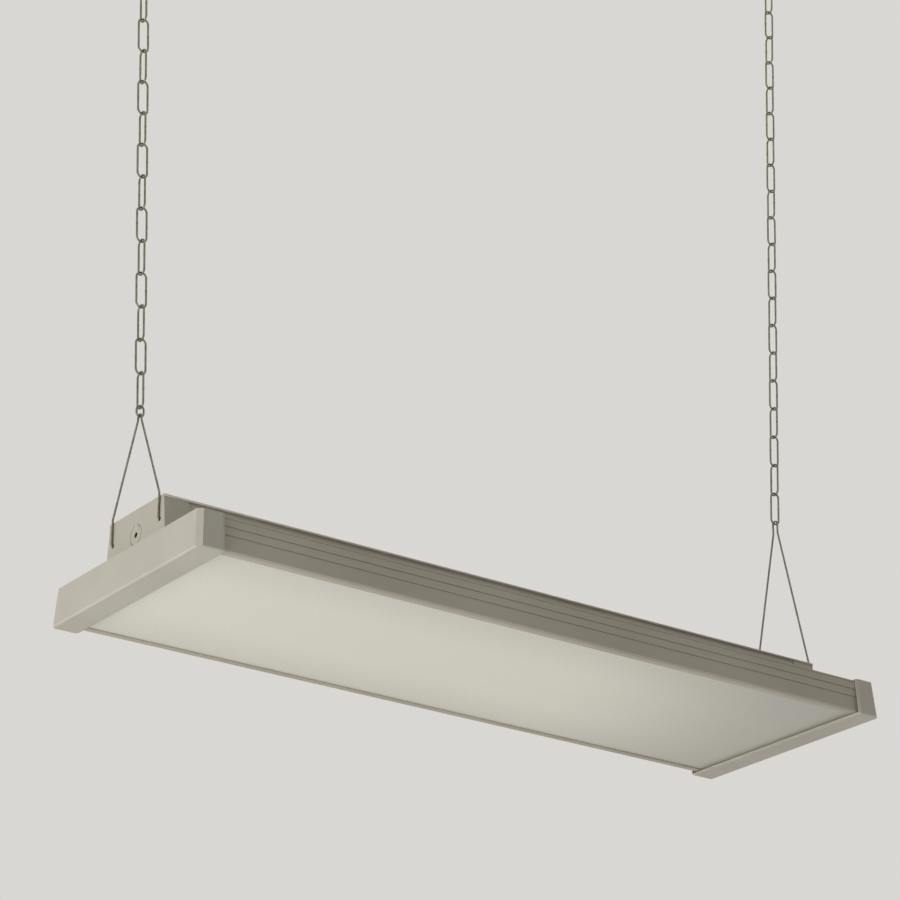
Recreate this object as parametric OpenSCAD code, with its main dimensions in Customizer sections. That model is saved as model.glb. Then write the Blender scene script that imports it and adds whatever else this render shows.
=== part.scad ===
// Hanging linear shop light: a shallow lit tray under a driver housing, hung by a
// wire V-hook and a long-link chain at each end. Sizes are millimetres. The origin is
// on the ceiling, midway between the two ceiling hooks; +X is the light's right end,
// +Y its rear side and +Z is up.

/* [Light tray] */
// Length over the end caps
light_l = 1206; // [1000:1:1500]
// Width over the end caps, at their lower edge
light_w = 390; // [360:1:460]
// Height of an end cap
cap_h = 56; // [54:0.5:60]
// Length of rail that an end cap covers
cap_wrap = 42; // [34:1:50]
// Wall thickness of an end cap
cap_wall = 2.4; // [2:0.1:3]
// Height of a side rail, from its lens lip to its top bead
rail_h = 49.2; // [48:0.1:52]
// Width of the lens lip that shows under a rail
lip_w = 13; // [10:1:20]
// Thickness of the lens
lens_t = 2.6; // [2:0.1:3]

/* [Driver housing] */
// Width of the housing where it stands on the tray
housing_base_w = 154; // [140:1:170]
// Width of the housing at its top
housing_top_w = 140; // [120:1:150]
// Height of the housing's top above the light's underside
housing_top = 118.4; // [105:0.1:130]
// Distance from an end cap's face to the housing's end plate
plate_inset = 18; // [14:1:25]
// Length of an end plate's side wings
wing_l = 39; // [36:1:60]
// Sheet thickness of the housing
sheet = 1.2; // [0.8:0.1:1.4]
// Diameter of the knockout that lets a supply cable in
knockout_d = 28; // [22:0.5:35]

/* [Suspension] */
// Distance between the two ceiling hooks
hook_span = 1260; // [1220:1:1300]
// Diameter of the chain's wire
chain_wire = 3; // [2.5:0.1:3.5]
// Outside width of a chain link
link_w = 18.6; // [16:0.1:22]
// Pitch of the chain
link_pitch = 51; // [45:0.5:56]
// Links in the right chain
right_links = 20; // [16:2:26]
// Links that the left chain has more than the right one
extra_links = 2; // [2:2:4]
// Diameter of the V-hooks' wire
vhook_wire = 3; // [2.5:0.1:3.5]
// Height of the right V-hook's eye above the light's underside
right_eye_z = 380; // [340:1:420]
// Diameter of the ceiling hooks' wire
hook_wire = 5; // [4:0.5:6]

/* [Hidden] */
$fn = 48;

// Suspension, measured along the chains
seat = 0.25;                              // play left between two wires that bear
link_r = (link_w - chain_wire) / 2;       // centreline radius of a link's ends
link_run = link_pitch + chain_wire + seat; // centreline height of a link
ring_w = 14.2;
ring_h = 19;
ring_r = (ring_w - chain_wire) / 2;
ring_run = ring_h - chain_wire;
hook_r = 11.5;                            // centreline radius of a ceiling hook
hook_neck = 12;                           // straight shank under the ceiling
shank_l = 24;                             // shank screwed into the ceiling
shank_d = 5;
open_play = 1.5;                          // play of the right eye on its link
hook_rise = (hook_wire + chain_wire) / 2 + seat;
vhook_rise = (vhook_wire + chain_wire) / 2 + seat;

// Where the V-hooks stand
plate_x = light_l / 2 - plate_inset;
plate_t = 1.5;
vhook_x = plate_x + vhook_wire / 2 + 0.3;
left_links = right_links + extra_links;
reach = hook_span / 2 - vhook_x;          // how far the chains splay outwards

// Right chain: the hook's wire lies along X and the first link hangs across it
right_run = right_links * link_pitch + seat - (vhook_rise + open_play - chain_wire);
right_tilt = asin(reach / right_run);
right_hook_z = -hook_neck - 2 * hook_r;
right_top = [hook_span / 2, 0, right_hook_z + hook_rise];
right_eye_drop = right_run * cos(right_tilt);
drop = right_eye_z - right_top.z + right_eye_drop; // ceiling to the light's underside

// Left chain: the hook's wire lies along Y and the first link hangs along it
left_run = left_links * link_pitch + chain_wire + seat;
left_tilt = asin(reach / (left_run - hook_rise));
left_hook_z = right_hook_z - hook_rise * cos(left_tilt);
left_top = [-hook_span / 2 - hook_rise * sin(left_tilt), 0, right_hook_z];
left_end = left_top + left_run * [sin(left_tilt), 0, -cos(left_tilt)];
ring_top_z = left_end.z + chain_wire + seat;
left_eye_z = ring_top_z - ring_run + vhook_rise + drop;

// Tray
tray_z = 4;                               // underside of the rails
rail_y = light_w / 2 - 8;                 // outer face of a rail
rail_wall = 2.2;
rail_end = light_l / 2 - 11;
lens_z = tray_z + 2.2;
pan_z = 43.2;
pan_t = 1.2;
pan_half = rail_y - rail_wall - 1;
pan_end = rail_end - 3;
cap_top_in = 5;                           // how much narrower a cap is at its top
cap_lean = 3;                             // how far a cap's face leans in at its top
cap_corner = 7;                           // leg of the chamfer at a cap's corners
foot_cut = 2.4;                           // leg of the chamfer under a rail's face
groove_z = [26.5, 38.7];                  // undersides of a rail's shadow grooves
board_t = 1.6;
board_l = 556;
board_w = 60;
board_y = 88;
board_z = pan_z - board_t - 0.05;

// Housing
channel_z = pan_z + pan_t + 0.1;
cover_z = housing_top - sheet;            // underside of the cover
channel_top = cover_z - 0.1;
flange_w = 18;
channel_end = plate_x - 2;
plate_z = cap_h + 0.4;
run_y = 62;                               // where the V-hooks run down the plates
tip_z = 84;                               // height of the V-hooks' tips
channel_screw_x = [-530, -330, -12, 330, 530];
cover_screw_x = [-500, 0, 500];
driver_x = 190;
driver_l = 280;
grommet_x = [-26, 26];
plug_x = 32;                              // where a board's connector stands

function half_w(z) = housing_base_w / 2
    - (z - channel_z) * (housing_base_w - housing_top_w) / 2 / (channel_top - channel_z);
function mirrored(half) = concat(half,
    [for (i = [len(half) - 1:-1:0]) [-half[i].x, half[i].y]]);

// ---- helpers ----

// Puts the light in the tray's frame, whose zero height is its underside
module on_light() { translate([0, 0, -drop]) children(); }

// Extrudes a profile drawn in Y and Z along X, from one x to another
module along_x(x0, x1) {
    translate([x0, 0, 0]) rotate([90, 0, 90]) linear_extrude(x1 - x0) children();
}

// What is taken off a square corner at the origin to round it
module corner(r) {
    difference() {
        translate([-1, -1]) square(r + 1);
        translate([r, r]) circle(r);
    }
}

// Arc of wire in the XZ plane round the origin, from angle a over a sweep
module wire_arc(r, d, a, sweep) {
    rotate([90, -a, 0]) rotate_extrude(angle = sweep) translate([r, 0]) circle(d = d);
}

// Points of an arc in the YZ plane from angle a0 to a1
function arc(centre, r, a0, a1, steps) = [for (i = [0:steps])
    let (a = a0 + (a1 - a0) * i / steps) centre + r * [0, cos(a), sin(a)]];

// Wire swept along points, its rings square to the path. No stretch of the path may be
// parallel to across, which sets where each ring starts
function unit(v) = v / norm(v);
function heading(points, i) = unit(
    (i > 0 ? unit(points[i] - points[i - 1]) : [0, 0, 0])
    + (i < len(points) - 1 ? unit(points[i + 1] - points[i]) : [0, 0, 0]));
function ring_at(points, i, d, sides, across) =
    let (t = heading(points, i), u = unit(cross(t, across)), v = cross(t, u))
    [for (k = [0:sides - 1]) let (a = 360 * k / sides)
        points[i] + d / 2 * (cos(a) * u + sin(a) * v)];
module wire(points, d, sides, across) {
    last = len(points) - 1;
    polyhedron(
        points = [for (i = [0:last]) each ring_at(points, i, d, sides, across)],
        faces = concat(
            [[for (k = [0:sides - 1]) k]],
            [for (i = [0:last - 1]) for (k = [0:sides - 1])
                let (a = i * sides + k, b = i * sides + (k + 1) % sides)
                each [[a, a + sides, b], [b, a + sides, b + sides]]],
            [[for (k = [sides - 1:-1:0]) last * sides + k]]));
}

// One link in the XZ plane, hanging from the origin at its top wire's centre
module oval_link(r, run, d) {
    straight = run - 2 * r;
    translate([0, 0, -r]) wire_arc(r, d, 0, 180);
    translate([0, 0, r - run]) wire_arc(r, d, 180, 180);
    for (side = [-1, 1])
        translate([side * r, 0, r - run]) cylinder(h = straight, d = d);
}

// Links first to last of a chain hanging from the origin; turned says whether the odd
// links lie in the YZ plane
module links(first, last, turned) {
    for (i = [first:last])
        translate([0, 0, -(i - 1) * link_pitch])
            rotate([0, 0, (i % 2 == 1) == turned ? 90 : 0])
                oval_link(link_r, link_run, chain_wire);
}

module left_hanging() { translate(left_top) rotate([0, -left_tilt, 0]) children(); }
module right_hanging() { translate(right_top) rotate([0, right_tilt, 0]) children(); }

// Pan-head screw with its head above z = 0 and its shank below
module screw(d, l) {
    translate([0, 0, -l]) cylinder(h = l + 0.1, d = d);
    cylinder(h = 0.35 * d, r = d);
    translate([0, 0, 0.35 * d]) cylinder(h = 0.2 * d, r1 = d, r2 = 0.7 * d);
}

// ---- suspension ----

// Open screw hook in the XZ plane, its bowl's lowest wire centred at the origin. A small
// collar ends its neck at the ceiling, top above the origin
module ceiling_hook(top) {
    throat = 70;
    translate([0, 0, hook_r]) {
        wire_arc(hook_r, hook_wire, 90, 360 - throat);
        rotate([0, throat - 90, 0]) translate([hook_r, 0, 0]) sphere(d = hook_wire);
    }
    translate([0, 0, 2 * hook_r]) cylinder(h = top - 2 * hook_r + shank_l - 5, d = shank_d);
    translate([0, 0, 2 * hook_r]) sphere(d = hook_wire);
    translate([0, 0, top - 1.5]) cylinder(h = 1.5, d = shank_d + 2);
    translate([0, 0, top + shank_l - 5]) cylinder(h = 5, d1 = shank_d, d2 = 1.2);
}

module left_ceiling_hook() {
    color("dimgray") translate([-hook_span / 2, 0, left_hook_z])
        rotate([0, 0, 90]) ceiling_hook(-left_hook_z);
}
module right_ceiling_hook() {
    color("dimgray") translate([hook_span / 2, 0, right_hook_z])
        ceiling_hook(-right_hook_z);
}

module left_top_link() { color("darkgray") left_hanging() links(1, 1, false); }
module left_chain() { color("darkgray") left_hanging() links(2, left_links, false); }
module right_top_link() { color("darkgray") right_hanging() links(1, 1, true); }
module right_chain() { color("darkgray") right_hanging() links(2, right_links, true); }

module left_connecting_ring() {
    color("darkgray") translate([left_end.x, 0, ring_top_z])
        oval_link(ring_r, ring_run, chain_wire);
}

// V-hook in the YZ plane, one wire from tip to tip. Its eye's wire is centred at height
// eye, the eye's straight neck is neck long, the legs spread to the end plate's sides,
// run down it and turn their tips to -X
module v_hook(eye, eye_r, neck) {
    bend = 6;
    tip_bend = 2.5;
    tip_l = 7;
    knee_z = housing_top + 3;
    neck_z = eye - eye_r - neck;
    a = run_y - eye_r - 2 * bend;
    h = neck_z - knee_z;
    spread = atan2(a, h) + asin(2 * bend / norm([a, h]));
    half = concat(
        arc([0, 0, eye - eye_r], eye_r, 90, 0, 6),
        arc([0, eye_r + bend, neck_z], bend, 180, 180 + spread, 3),
        arc([0, run_y - bend, knee_z], bend, spread, 0, 3),
        [for (i = [0:4]) [tip_bend * (cos(22.5 * i) - 1), run_y,
            tip_z + tip_bend * (1 - sin(22.5 * i))]],
        [[-tip_bend - tip_l, run_y, tip_z]]);
    wire(concat([for (i = [len(half) - 1:-1:1]) [half[i].x, -half[i].y, half[i].z]], half),
        vhook_wire, 16, [1, 0, -1]);
}

module left_v_hook() {
    color("gray") on_light() translate([-vhook_x, 0, 0])
        mirror([1, 0, 0]) v_hook(left_eye_z, 4.5, 2);
}
module right_v_hook() {
    color("gray") on_light() translate([vhook_x, 0, 0]) v_hook(right_eye_z, 5, 15);
}

// ---- tray ----

// Extruded side rail, drawn on the +Y side: lens lip, ledges for the lens and the pan,
// a folded top and three shadow grooves down its face
module rail_profile() {
    top = tray_z + rail_h;
    difference() {
        union() {
            translate([rail_y - rail_wall, tray_z]) square([rail_wall, rail_h]);
            translate([rail_y - lip_w, tray_z]) square([lip_w, 1.8]);
            translate([rail_y - 13, lens_z + lens_t + 0.4]) square([12, 1.4]);
            translate([rail_y - 15, pan_z - 1.6]) square([14, 1.4]);
            translate([rail_y - 17, top - 3.2]) square([16, 2]);
            translate([rail_y - 17, top - 7]) square([1.6, 5]);
        }
        translate([rail_y, tray_z]) rotate(45) square(foot_cut * sqrt(2), center = true);
        for (z = groove_z) translate([rail_y - 1.2, z]) square([2, 1.6]);
        translate([rail_y - 0.8, top - 3]) square([2, 0.9]);
        translate([rail_y - lip_w, tray_z + 1.8]) rotate(-45) square(0.9, center = true);
    }
}

module rail(side) {
    difference() {
        mirror([0, side, 0]) along_x(-rail_end, rail_end) rail_profile();
        for (x = [-1, 1])
            translate([x * (rail_end - 14), (side ? -1 : 1) * (rail_y - 9), tray_z + rail_h - 5])
                cylinder(h = 5, d = 3.6);
    }
}

module front_rail() { color("gainsboro") on_light() rail(1); }
module rear_rail() { color("gainsboro") on_light() rail(0); }

// Outer form of a right-hand end cap, drawn in by inset and starting at x0
module cap_form(inset, x0) {
    x1 = light_l / 2 - inset;
    y1 = light_w / 2 - inset;
    z1 = cap_h - inset;
    soft = 3.5 - inset;
    cut = cap_corner - inset * (2 - sqrt(2));
    lean = atan((cap_lean + cap_top_in) / sqrt(2) / cap_h);
    intersection() {
        difference() {
            translate([x0, -y1, inset]) cube([x1 - x0, 2 * y1, z1 - inset]);
            for (side = [0, 1]) mirror([0, side, 0]) translate([x1, y1 - cut, inset])
                rotate([0, 0, 45]) rotate([0, -lean, 0]) translate([0, -20, -5])
                    cube([20, 40, cap_h + 20]);
        }
        translate([0, y1 + 1, 0]) rotate([90, 0, 0]) linear_extrude(2 * y1 + 2)
            difference() {
                polygon([[x0, inset], [x1, inset], [x1 - cap_lean, z1], [x0, z1]]);
                translate([x1, inset]) mirror([1, 0]) corner(soft);
            }
        along_x(x0, x1 + 1) difference() {
            polygon(mirrored([[y1, inset], [y1 - cap_top_in, z1]]));
            for (side = [0, 1]) mirror([side, 0])
                translate([y1, inset]) mirror([1, 0]) corner(soft);
        }
    }
}

// Moulded end cap: an open box over the tray's end, with a stepped edge, locating ribs
// on the inside of its face and a screw hole over each rail
module end_cap() {
    x0 = light_l / 2 - cap_wrap;
    step = 3;
    difference() {
        union() {
            cap_form(0, x0 + step);
            cap_form(0.9, x0);
        }
        cap_form(cap_wall, x0 - 1);
        for (side = [-1, 1])
            translate([rail_end - 14, side * (rail_y - 9), cap_h - 4]) cylinder(h = 5, d = 4);
    }
    for (y = [-150:60:150])
        translate([rail_end + 0.8, y - 0.8, 12])
            cube([light_l / 2 - cap_wall - rail_end - 1, 1.6, 26]);
}

module left_end_cap() { color("whitesmoke") on_light() mirror([1, 0, 0]) end_cap(); }
module right_end_cap() { color("whitesmoke") on_light() end_cap(); }

module lens() {
    color("white", 0.6) on_light()
        translate([-rail_end + 1, -rail_y + rail_wall + 1, lens_z])
            cube([2 * rail_end - 2, 2 * (rail_y - rail_wall - 1), lens_t]);
}

// Sheet pan that slides into the rails and carries the boards, with a pressed
// stiffening bead between the board and the rail on each side
module reflector_pan() {
    bead_y = 138;
    bead = 2;
    half = [[pan_half, 0], [bead_y + 5, 0], [bead_y + 3, bead], [bead_y - 3, bead],
        [bead_y - 5, 0]];
    top = [for (p = half) [p.x, p.y + pan_t]];
    color("white") on_light() difference() {
        along_x(-pan_end, pan_end) translate([0, pan_z]) polygon(concat(
            [for (i = [len(half) - 1:-1:0]) half[i]],
            top, [for (i = [len(top) - 1:-1:0]) [-top[i].x, top[i].y]],
            [for (p = half) [-p.x, p.y]]));
        for (x = grommet_x) translate([x, 0, pan_z - 1]) cylinder(h = 4, d = 14);
        for (p = channel_screw_spots()) translate([p.x, p.y, pan_z - 1])
            cylinder(h = 4, d = 4.4);
        for (p = driver_screw_spots()) translate([p.x, p.y, pan_z - 1])
            cylinder(h = 4, d = 4.4);
        for (p = board_screw_spots()) translate([p.x, p.y, pan_z - 1])
            cylinder(h = 4, d = 3.4);
    }
}

// ---- light source ----

function board_spots() = [for (y = [-1, 1]) for (x = [-1, 1])
    [x * (board_l / 2 + 6), y * board_y]];
function board_screw_spots() = [for (b = board_spots()) for (x = [-1, 1]) for (y = [-1, 1])
    [b.x + x * (board_l / 2 - 12), b.y + y * (board_w / 2 - 6)]];

module board(x, y) {
    color("white") on_light() difference() {
        translate([x * (board_l / 2 + 6) - board_l / 2, y * board_y - board_w / 2, board_z])
            cube([board_l, board_w, board_t]);
        for (p = board_screw_spots()) translate([p.x, p.y, board_z - 1])
            cylinder(h = 4, d = 3.4);
    }
}

module front_left_board() { board(-1, -1); }
module front_right_board() { board(1, -1); }
module rear_left_board() { board(-1, 1); }
module rear_right_board() { board(1, 1); }

// Two rows of emitters along each board
module led_packages() {
    per_row = 14;
    step = board_l / per_row;
    size = [3.5, 2.8, 0.8];
    color("khaki") on_light()
        for (b = board_spots()) for (row = [-1, 1]) for (i = [0:per_row - 1])
            translate([b.x + (i + 0.5) * step - board_l / 2, b.y + row * 13, board_z - 0.45])
                cube(size, center = true);
}

module board_connectors() {
    color("ivory") on_light() for (b = board_spots())
        translate([sign(b.x) * plug_x, b.y, board_z - 2.05]) difference() {
            cube([10, 9, 4], center = true);
            for (x = [-2.5, 2.5]) translate([x, 0, 0]) cube([2.6, 10, 2.6], center = true);
        }
}

// ---- housing ----

function channel_screw_spots() = [for (x = channel_screw_x) for (y = [-1, 1]) [x, y * 44]];
function driver_screw_spots() = [for (x = [-1, 1]) for (e = [-1, 1])
    [x * driver_x + e * (driver_l / 2 + 6), 0]];
function cover_screw_spots() = [for (x = cover_screw_x) for (y = [-1, 1]) [x, y * 58]];
function plate_screw_spots() = [for (x = [-1, 1]) for (i = [0, 1]) for (y = [-1, 1])
    [x * (plate_x - 12 - 20 * i), y * 58]];

// Folded channel: a web on the pan, leaning sides and inward flanges for the cover.
// Its lower part stops short of the end caps
module housing_channel() {
    base = half_w(channel_z);
    top = half_w(channel_top);
    color("whitesmoke") on_light() difference() {
        along_x(-channel_end, channel_end) polygon(mirrored([
            [base, channel_z], [top, channel_top], [top - flange_w, channel_top],
            [top - flange_w, channel_top - sheet], [top - sheet, channel_top - sheet],
            [base - sheet, channel_z + sheet]]));
        for (side = [0, 1]) mirror([side, 0, 0])
            translate([light_l / 2 - cap_wrap - 3, -base - 1, channel_z - 1])
                cube([cap_wrap, 2 * base + 2, plate_z + 0.6 - channel_z]);
        for (x = grommet_x) translate([x, 0, channel_z - 1]) cylinder(h = 4, d = 14);
        for (p = channel_screw_spots()) translate([p.x, p.y, channel_z - 1])
            cylinder(h = 4, d = 4.4);
        for (p = driver_screw_spots()) translate([p.x, p.y, channel_z - 1])
            cylinder(h = 4, d = 4.4);
        for (p = concat(cover_screw_spots(), plate_screw_spots()))
            translate([p.x, p.y, channel_top - 3]) cylinder(h = 4, d = 3.4);
        translate([-548, 30, channel_z - 1]) cylinder(h = 4, d = 4.4);
    }
}

// Lid over the channel and both end plates, with a low lip that hangs outside the end
// plates' wings
module housing_cover() {
    lip = 2.4;
    inside = plate_t + 0.4;
    z0 = cover_z - lip;
    color("whitesmoke") on_light() difference() {
        along_x(-plate_x, plate_x) polygon(mirrored([
            [half_w(housing_top) + inside + sheet, housing_top],
            [half_w(z0) + inside + sheet, z0], [half_w(z0) + inside, z0],
            [half_w(cover_z) + inside, cover_z]]));
        for (p = concat(cover_screw_spots(), plate_screw_spots()))
            translate([p.x, p.y, cover_z - 1]) cylinder(h = 4, d = 4);
    }
}

// C-shaped cuts of a knockout, joined to the plate by two tabs, and its pry hole
module knockout_cut() {
    rotate([0, 90, 0]) {
        for (a = [0, 180]) rotate([0, 0, a + 12]) rotate_extrude(angle = 156)
            translate([knockout_d / 2, 0]) square([0.9, plate_t + 2]);
        cylinder(h = plate_t + 2, d = 8);
    }
}

// Folded end plate: side wings outside the channel and a flange under the channel's own.
// It has a knockout and a hole for each tip of the V-hook
module end_plate() {
    play = 0.2;
    x0 = plate_x - wing_l;
    flange_l = 38;
    flange_half = half_w(channel_top) - sheet - 0.4;
    color("whitesmoke") on_light() difference() {
        union() {
            difference() {
                along_x(x0, plate_x) polygon(mirrored([
                    [half_w(plate_z) + play + plate_t, plate_z],
                    [half_w(channel_top) + play + plate_t, channel_top]]));
                along_x(x0 - 1, plate_x - plate_t) polygon(mirrored([
                    [half_w(plate_z - 1) + play, plate_z - 1],
                    [half_w(channel_top + 1) + play, channel_top + 1]]));
            }
            translate([plate_x - flange_l, -flange_half, channel_top - sheet - 0.1 - plate_t])
                cube([flange_l - 0.5, 2 * flange_half, plate_t]);
        }
        translate([plate_x - plate_t - 1, 0, 81]) knockout_cut();
        for (side = [-1, 1])
            translate([plate_x - plate_t - 1, side * run_y, tip_z + 0.3])
                rotate([0, 90, 0]) cylinder(h = plate_t + 2, d = 6.4);
        for (p = plate_screw_spots()) if (p.x > 0)
            translate([p.x, p.y, channel_top - 5]) cylinder(h = 4, d = 3.4);
    }
}

module left_end_plate() { mirror([1, 0, 0]) end_plate(); }
module right_end_plate() { end_plate(); }

// LED driver: a ribbed case with a slotted ear at each end
module driver(x) {
    case_w = 50;
    case_h = 32;
    z = channel_z + sheet + 0.1;
    color("silver") on_light() translate([x, 0, z]) difference() {
        union() {
            along_x(-driver_l / 2, driver_l / 2) difference() {
                polygon(mirrored([[case_w / 2, 0], [case_w / 2, case_h - 3],
                    [case_w / 2 - 3, case_h]]));
                for (y = [-18:6:18]) translate([y - 1, case_h - 1.2]) square(2);
            }
            for (e = [-1, 1]) translate([e * (driver_l / 2 + 6), 0, 0.75])
                cube([13, 30, 1.5], center = true);
        }
        for (e = [-1, 1]) translate([e * (driver_l / 2 + 6), 0, -1]) cylinder(h = 4, d = 4.6);
    }
}

module left_driver() { driver(-driver_x); }
module right_driver() { driver(driver_x); }

// ---- wiring ----

module lead(points, d) { wire(points, d, 8, [1, 2, 3]); }

module supply_connectors() {
    color("lightgray") on_light() for (y = [-20, 0, 20])
        translate([-500, y, channel_z + sheet + 5.2]) difference() {
            cube([22, 13, 10], center = true);
            for (s = [-3, 3]) translate([8, s, 0]) cube([8, 4, 6], center = true);
        }
}

// Supply conductors from the connectors to each driver's outer end. Those of the right
// driver run along the channel's rear side
module supply_leads() {
    z = channel_z + sheet + 5.2;
    end = driver_x + driver_l / 2 + 0.3;
    color("dimgray") on_light() for (i = [-1:1]) {
        lead([[-494, 20 * i - 3, z], [-460, 20 * i - 3, z], [-380, 6 * i, z + 6],
            [-end, 6 * i, z + 6]], 2.4);
        lead([[-494, 20 * i + 3, z], [-484, 20 * i + 3, z], [-474, 20 * i + 3, z + 16],
            [-440, 38 + 5 * i, z + 16], [-420, 38 + 5 * i, z + 4],
            [end + 32 + 5 * i, 38 + 5 * i, z + 4], [end + 40 + 5 * i, 30 + 5 * i, z + 4],
            [end + 40 + 5 * i, 8 - 6 * i, z + 6], [end + 32 + 5 * i, -6 * i, z + 6],
            [end, -6 * i, z + 6]], 2.4);
    }
}

// Output conductors of each driver, from its inner end down through a grommet to a board
// on each side, and the lead that joins those two boards in series
module output_leads() {
    z = channel_z + sheet + 14;
    end = driver_x - driver_l / 2 - 0.3;
    x = grommet_x[1];
    low = board_z - 2.05;
    color("firebrick") on_light() for (side = [0, 1]) mirror([side, 0, 0]) {
        for (i = [-1, 1])
            lead([[end, 8 * i, z], [end - 12, 8 * i, z], [x, 2.4 * i, z - 6],
                [x, 2.4 * i, pan_z - 4], [plug_x + 2.5, 20 * i, low],
                [plug_x + 2.5, 86 * i, low]], 2);
        lead([[plug_x - 2.5, -86, low], [plug_x - 2.5, -30, low], [14, -12, low],
            [14, 12, low], [plug_x - 2.5, 30, low], [plug_x - 2.5, 86, low]], 2);
    }
}

module grommets() {
    color("black") on_light() for (x = grommet_x) translate([x, 0, pan_z - 1.2])
        difference() {
            union() {
                cylinder(h = 6.2, d = 13.6);
                cylinder(h = 1.1, d = 18);
                translate([0, 0, channel_z + sheet + 0.1 - pan_z + 1.2])
                    cylinder(h = 1.6, d = 18);
            }
            translate([0, 0, -1]) cylinder(h = 9, d = 8.4);
        }
}

// ---- fasteners ----

module ground_screw() {
    color("green") on_light() translate([-548, 30, channel_z + sheet + 0.1]) {
        translate([0, 0, -sheet]) cylinder(h = sheet + 0.1, d = 4);
        cylinder(h = 3, d = 8, $fn = 6);
    }
}

module end_cap_screws() {
    color("silver") on_light() for (x = [-1, 1]) for (y = [-1, 1])
        translate([x * (rail_end - 14), y * (rail_y - 9), cap_h + 0.05]) screw(3, 8);
}

module end_plate_screws() {
    color("silver") on_light() for (p = plate_screw_spots())
        translate([p.x, p.y, housing_top + 0.05]) screw(3, 8);
}

module cover_screws() {
    color("silver") on_light() for (p = cover_screw_spots())
        translate([p.x, p.y, housing_top + 0.05]) screw(3, 8);
}

module channel_screws() {
    color("silver") on_light() for (p = channel_screw_spots())
        translate([p.x, p.y, channel_z + sheet + 0.05]) screw(4, 6);
}

module driver_screws() {
    color("silver") on_light() for (p = driver_screw_spots())
        translate([p.x, p.y, channel_z + sheet + 1.65]) screw(4, 7);
}

module board_screws() {
    color("silver") on_light() for (p = board_screw_spots())
        translate([p.x, p.y, board_z - 0.05]) mirror([0, 0, 1]) screw(3, 2.8);
}

left_ceiling_hook();
right_ceiling_hook();
left_top_link();
right_top_link();
left_chain();
right_chain();
left_connecting_ring();
left_v_hook();
right_v_hook();
front_rail();
rear_rail();
left_end_cap();
right_end_cap();
lens();
reflector_pan();
housing_channel();
housing_cover();
left_end_plate();
right_end_plate();
left_driver();
right_driver();
front_left_board();
front_right_board();
rear_left_board();
rear_right_board();
led_packages();
board_connectors();
supply_connectors();
supply_leads();
output_leads();
grommets();
ground_screw();
end_cap_screws();
end_plate_screws();
cover_screws();
channel_screws();
driver_screws();
board_screws();
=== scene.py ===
import bpy
import bmesh
import math
from mathutils import Matrix, Vector


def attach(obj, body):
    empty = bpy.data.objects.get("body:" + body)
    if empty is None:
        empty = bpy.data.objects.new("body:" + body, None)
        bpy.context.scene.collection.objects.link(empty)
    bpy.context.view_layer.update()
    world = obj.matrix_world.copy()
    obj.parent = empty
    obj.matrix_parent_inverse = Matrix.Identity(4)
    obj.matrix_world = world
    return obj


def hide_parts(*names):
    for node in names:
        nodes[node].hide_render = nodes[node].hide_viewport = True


# Hanging linear shop light: finishes, fine detail and studio. Metres, origin on the
# ceiling midway between the hooks, +X the light's right end, +Y its rear, +Z up.

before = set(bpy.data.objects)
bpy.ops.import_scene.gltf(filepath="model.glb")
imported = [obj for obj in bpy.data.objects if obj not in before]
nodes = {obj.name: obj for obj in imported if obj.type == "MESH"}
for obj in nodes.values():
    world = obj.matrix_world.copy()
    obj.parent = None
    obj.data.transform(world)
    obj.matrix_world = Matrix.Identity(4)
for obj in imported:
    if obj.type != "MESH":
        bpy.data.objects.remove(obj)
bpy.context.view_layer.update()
mm = 0.001
drop = 1428.33 * mm                    # from the ceiling down to the light's underside
print("frame loaded,", len(nodes), "nodes")


def linear(hexColour):                 # sRGB hex to linear RGBA
    value = hexColour.lstrip("#")
    parts = [int(value[i:i + 2], 16) / 255 for i in (0, 2, 4)]
    curve = [c / 12.92 if c <= 0.04045 else ((c + 0.055) / 1.055) ** 2.4 for c in parts]
    return curve + [1.0]


def addNode(tree, kind, settings=(), values=(), links=()):
    node = tree.nodes.new(kind)
    for name, value in dict(settings).items():
        setattr(node, name, value)
    for socket, value in dict(values).items():
        node.inputs[socket].default_value = value
    for socket, source in dict(links).items():
        tree.links.new(source, node.inputs[socket])
    return node


def perMetre(millimetres):             # noise scale whose cells are this many mm wide
    return 1 / (millimetres * mm)


def startMaterial(name, roughness, metallic=0.0, ior=1.5):
    material = bpy.data.materials.new(name)
    material.use_nodes = True
    tree = material.node_tree
    shader = tree.nodes["Principled BSDF"]
    shader.inputs["Roughness"].default_value = roughness
    shader.inputs["Metallic"].default_value = metallic
    shader.inputs["IOR"].default_value = ior
    place = addNode(tree, "ShaderNodeTexCoord").outputs["Object"]
    return material, tree, shader, place


def mottle(tree, shader, place, light, dark, cell, share=0.5):
    # two close tones drifting into each other, the colour every real finish has
    noise = addNode(tree, "ShaderNodeTexNoise", values={"Scale": perMetre(cell), "Detail": 4.0},
                    links={"Vector": place})
    tone = addNode(tree, "ShaderNodeValToRGB", links={"Fac": noise.outputs["Fac"]})
    tone.color_ramp.elements[0].position = share - 0.2
    tone.color_ramp.elements[1].position = share + 0.2
    tone.color_ramp.elements[0].color = linear(dark)
    tone.color_ramp.elements[1].color = linear(light)
    tree.links.new(tone.outputs["Color"], shader.inputs["Base Color"])
    return tone.outputs["Color"]


def relief(tree, shader, heights):
    # chains bumps: (height socket, strength, depth in mm)
    normal = None
    for height, strength, depth in heights:
        bump = addNode(tree, "ShaderNodeBump", values={"Strength": strength, "Distance": depth * mm},
                       links={"Height": height})
        if normal:
            tree.links.new(normal, bump.inputs["Normal"])
        normal = bump.outputs["Normal"]
    tree.links.new(normal, shader.inputs["Normal"])


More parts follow.
